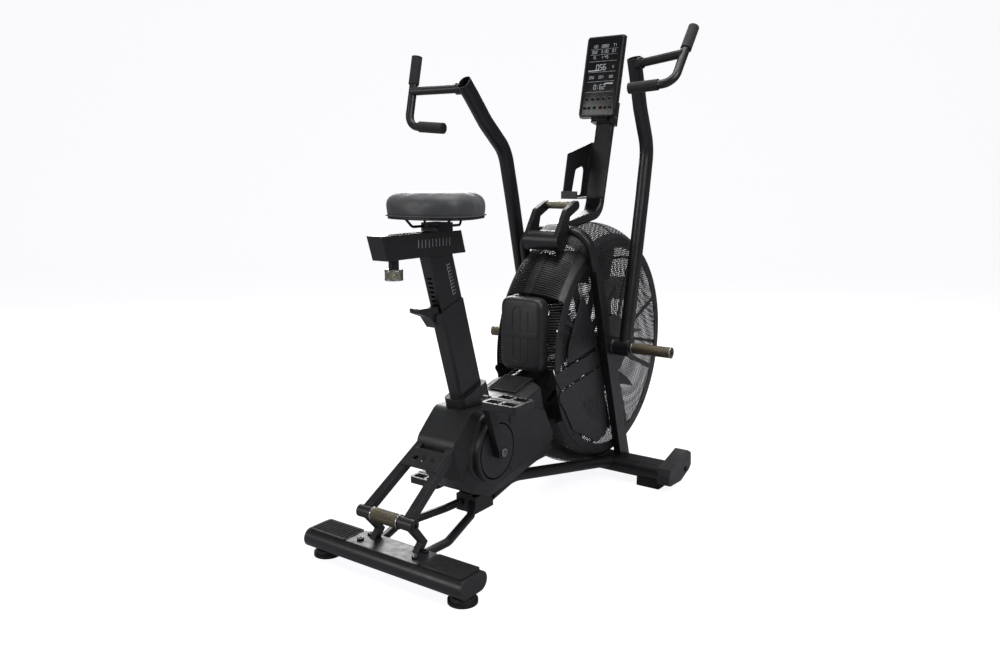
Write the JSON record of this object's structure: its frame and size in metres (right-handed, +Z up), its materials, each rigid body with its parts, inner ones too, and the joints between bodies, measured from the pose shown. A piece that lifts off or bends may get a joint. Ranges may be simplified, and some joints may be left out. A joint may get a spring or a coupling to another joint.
{
  "type": "air bike",
  "caption": "Stationary exercise bike with a caged fan wheel, coupled swinging arms, cranks with pedals, an adjustable seat, a console mast and a base with levelling feet and wheels.",
  "frame": {"origin": "on the floor, under the centre of the overall box", "axes": "+X forwards from the seat to the fan, +Y to the rider's left, +Z up"},
  "size_m": [1.414, 0.732, 1.4387],
  "materials": {
    "black_powder_coat": "satin black powder coat",
    "grey_powder_coat": "satin dark grey powder coat",
    "moulded_black": "fine grained moulded plastic",
    "console_plastic": "smooth black plastic",
    "rubber": "matte rubber",
    "wheel_rubber": "matte solid rubber",
    "bare_steel": "turned steel",
    "zinc_bolt": "black zinc",
    "cast_alloy": "cast and machined",
    "bronze_sleeve": "knurled and bronze plated",
    "seat_cover": "grey coated cloth over foam",
    "grip_foam": "soft textured sleeve",
    "belt_rubber": "ribbed belt",
    "key_film": "printed film"
  },
  "bodies": {
    "frame": {"rear_stabiliser_tube": "black_powder_coat", "end_caps": "moulded_black", "rear_mount_plate": "grey_powder_coat", "lift_crossbar": "black_powder_coat", "lift_grip_sleeve": "bronze_sleeve", "rear_ladder": "black_powder_coat", "frame_spine": "black_powder_coat", "wishbone_tubes": "black_powder_coat", "lower_rails": "black_powder_coat", "front_stabiliser_tube": "black_powder_coat", "wheel_housings": "moulded_black", "frame_bolts": "zinc_bolt", "rubber_feet": "rubber", "upright_legs": "black_powder_coat", "pivot_bosses": "black_powder_coat", "upright_arch": "black_powder_coat", "pivot_shafts": "bare_steel", "pivot_rings": "bare_steel", "foot_pegs": "bronze_sleeve", "fan_axle": "bare_steel", "axle_brackets": "black_powder_coat", "cage_sides": "black_powder_coat", "cage_grilles": "black_powder_coat", "cage_rim": "black_powder_coat", "seat_tube": "black_powder_coat", "drive_belts": "belt_rubber", "crank_bearings": "bare_steel", "body_shell": "moulded_black", "side_covers": "moulded_black", "step_tread": "rubber", "wind_guard": "moulded_black", "mast": "black_powder_coat", "console": "console_plastic", "console_keys": "key_film", "tablet_holder": "black_powder_coat", "centre_handle": "black_powder_coat", "handle_grip": "bronze_sleeve"},
    "crank": {"crank_axle": "bare_steel", "crank_arms": "black_powder_coat", "drive_pulley": "cast_alloy"},
    "pedal_left": {"pedal_left": "moulded_black"},
    "pedal_right": {"pedal_right": "moulded_black"},
    "jack": {"jackshaft": "cast_alloy"},
    "fan": {"fan_hub": "cast_alloy", "fan_blades": "cast_alloy", "fan_pulley": "cast_alloy"},
    "left_arm": {"arm_left": "black_powder_coat", "grips_left": "grip_foam"},
    "right_arm": {"arm_right": "black_powder_coat", "grips_right": "grip_foam"},
    "seat_height": {"seat_post": "black_powder_coat", "seat_slider": "black_powder_coat"},
    "seat_knob": {"seat_knob": "moulded_black"},
    "seat": {"seat_carriage": "black_powder_coat", "seat_cushion": "seat_cover"},
    "height_lever": {"height_lever": "moulded_black"},
    "wheel_left": {"transport_wheel_left": "wheel_rubber"},
    "wheel_right": {"transport_wheel_right": "wheel_rubber"},
    "foot_left": {"levelling_foot_left": "rubber"},
    "foot_right": {"levelling_foot_right": "rubber"}
  },
  "joints": [
    {"name": "crank_spin", "type": "hinge", "parent": "frame", "child": "crank", "pos_m": [-0.334, 0, 0.263], "axis": [0, 1, 0], "continuous": true},
    {"name": "pedal_left_spin", "type": "hinge", "parent": "crank", "child": "pedal_left", "pos_m": [-0.26894, 0.18, 0.10594], "axis": [0, 1, 0], "continuous": true},
    {"name": "pedal_right_spin", "type": "hinge", "parent": "crank", "child": "pedal_right", "pos_m": [-0.39906, -0.18, 0.42006], "axis": [0, 1, 0], "continuous": true},
    {"name": "jackshaft_spin", "type": "hinge", "parent": "frame", "child": "jack", "pos_m": [-0.138, 0, 0.297], "axis": [0, 1, 0], "continuous": true},
    {"name": "fan_spin", "type": "hinge", "parent": "frame", "child": "fan", "pos_m": [0.307, 0, 0.447], "axis": [0, 1, 0], "continuous": true},
    {"name": "left_arm_swing", "type": "hinge", "parent": "frame", "child": "left_arm", "pos_m": [0.259, 0.173, 0.46], "axis": [0, 1, 0], "range_deg": [0, 25]},
    {"name": "right_arm_swing", "type": "hinge", "parent": "frame", "child": "right_arm", "pos_m": [0.259, -0.173, 0.46], "axis": [0, 1, 0], "range_deg": [-25, 0]},
    {"name": "seat_height_slide", "type": "slide", "parent": "frame", "child": "seat_height", "axis": [-0.3007, 0, 0.9537], "range_m": [-0.08, 0.08]},
    {"name": "seat_knob_pull", "type": "slide", "parent": "seat_height", "child": "seat_knob", "axis": [0, 0, -1], "range_m": [0, 0.008], "stiffness_N_per_m": 900, "springref_m": -0.004},
    {"name": "seat_fore_aft", "type": "slide", "parent": "seat_height", "child": "seat", "axis": [1, 0, 0], "range_m": [-0.05, 0.02]},
    {"name": "height_lever_pull", "type": "hinge", "parent": "frame", "child": "height_lever", "pos_m": [-0.47702, 0, 0.63875], "axis": [0, 1, 0], "range_deg": [0, 10], "stiffness_Nm_per_rad": 2, "springref_deg": -5.73},
    {"name": "wheel_left_spin", "type": "hinge", "parent": "frame", "child": "wheel_left", "pos_m": [0.396, 0.321, 0.048], "axis": [0, 1, 0], "continuous": true},
    {"name": "wheel_right_spin", "type": "hinge", "parent": "frame", "child": "wheel_right", "pos_m": [0.396, -0.321, 0.048], "axis": [0, 1, 0], "continuous": true},
    {"name": "foot_left_turn", "type": "hinge", "parent": "frame", "child": "foot_left", "pos_m": [-0.655, 0.228, 0.02], "axis": [0, 0, 1], "continuous": true},
    {"name": "foot_right_turn", "type": "hinge", "parent": "frame", "child": "foot_right", "pos_m": [-0.655, -0.228, 0.02], "axis": [0, 0, 1], "continuous": true}
  ],
  "couplings": [
    {"joint": "jackshaft_spin", "follows": "crank_spin", "ratio": 4.2917},
    {"joint": "fan_spin", "follows": "crank_spin", "ratio": 9.503},
    {"joint": "right_arm_swing", "follows": "left_arm_swing", "ratio": -1}
  ]
}
